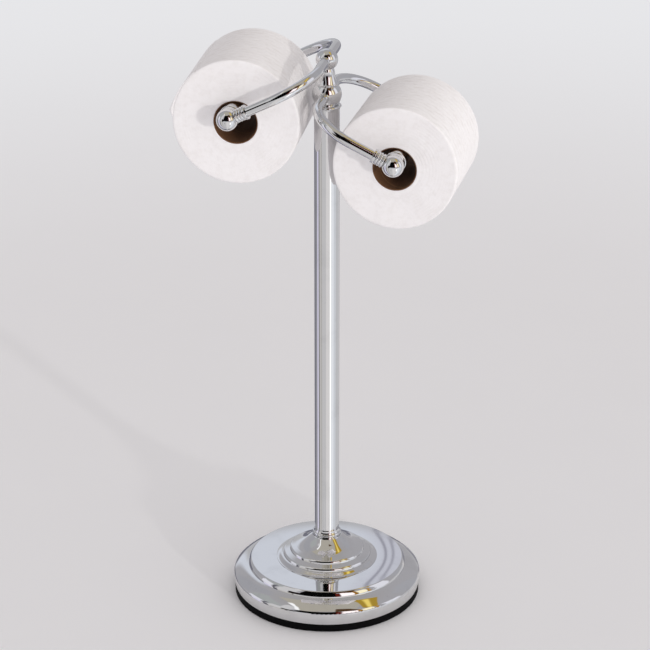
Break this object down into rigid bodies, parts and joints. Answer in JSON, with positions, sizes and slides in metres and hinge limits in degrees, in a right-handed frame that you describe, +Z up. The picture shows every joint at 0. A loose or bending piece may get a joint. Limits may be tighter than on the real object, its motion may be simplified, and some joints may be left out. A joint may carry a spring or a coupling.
{
  "type": "freestanding toilet paper holder",
  "caption": "Freestanding chrome toilet paper holder: a weighted round base and a slim post carry curved arms that hold sprung rollers, each with a roll of paper.",
  "frame": {"origin": "on the floor under the post's axis, at the middle of the rubber base", "axes": "+Z up the post, +Y along the rollers towards the back, +X towards the lower roll"},
  "size_m": [0.2717, 0.1818, 0.5508],
  "materials": {
    "chrome": "polished chrome plate",
    "steel": "plain turned steel",
    "weight": "rough cast, unpainted",
    "rubber": "matte black moulded rubber",
    "tissue": "soft embossed white tissue",
    "card": "plain brown board with a spiral seam"
  },
  "bodies": {
    "stand": {"rubber_base": "rubber", "base_weight": "weight", "base_shell": "chrome", "base_collar": "chrome", "foot_ring": "chrome", "tie_rod": "steel", "base_washer": "steel", "base_nut": "steel", "foot_plug": "steel", "post_tube": "chrome", "top_plug": "steel", "post_top_ring": "chrome", "lower_stud": "steel", "lower_hub": "chrome", "neck_piece": "chrome", "upper_stud": "steel", "upper_hub": "chrome", "left_front_arm": "chrome", "left_front_collar": "chrome", "left_front_elbow": "chrome", "left_back_arm": "chrome", "left_back_collar": "chrome", "left_back_elbow": "chrome", "right_front_arm": "chrome", "right_front_collar": "chrome", "right_front_elbow": "chrome", "right_back_arm": "chrome", "right_back_collar": "chrome", "right_back_elbow": "chrome"},
    "left_roller": {"left_roller_tube": "chrome", "left_roller_front_cap": "chrome", "left_roller_spring": "steel"},
    "left_plunger": {"left_roller_plunger": "chrome", "left_roller_back_cap": "chrome"},
    "left_roll": {"left_paper_roll": "tissue", "left_core": "card"},
    "right_roller": {"right_roller_tube": "chrome", "right_roller_front_cap": "chrome", "right_roller_spring": "steel"},
    "right_plunger": {"right_roller_plunger": "chrome", "right_roller_back_cap": "chrome"},
    "right_roll": {"right_paper_roll": "tissue", "right_core": "card"}
  },
  "joints": [
    {"name": "left_roller_spin", "type": "hinge", "parent": "stand", "child": "left_roller", "pos_m": [-0.07495, 0, 0.50224], "axis": [0, 1, 0], "continuous": true},
    {"name": "left_plunger_slide", "type": "slide", "parent": "left_roller", "child": "left_plunger", "axis": [0, -1, 0], "range_m": [0, 0.009], "stiffness_N_per_m": 300, "springref_m": -0.01, "deforming": ["left_roller_spring"]},
    {"name": "left_roll_spin", "type": "hinge", "parent": "stand", "child": "left_roll", "pos_m": [-0.07495, -0.0014, 0.49263], "axis": [-0.0419, 0.9991, 0], "continuous": true},
    {"name": "right_roller_spin", "type": "hinge", "parent": "stand", "child": "right_roller", "pos_m": [0.07495, 0, 0.46949], "axis": [0, 1, 0], "continuous": true},
    {"name": "right_plunger_slide", "type": "slide", "parent": "right_roller", "child": "right_plunger", "axis": [0, -1, 0], "range_m": [0, 0.009], "stiffness_N_per_m": 300, "springref_m": -0.01, "deforming": ["right_roller_spring"]},
    {"name": "right_roll_spin", "type": "hinge", "parent": "stand", "child": "right_roll", "pos_m": [0.07495, -0.0044, 0.45986], "axis": [0.0401, 0.9992, 0], "continuous": true}
  ]
}
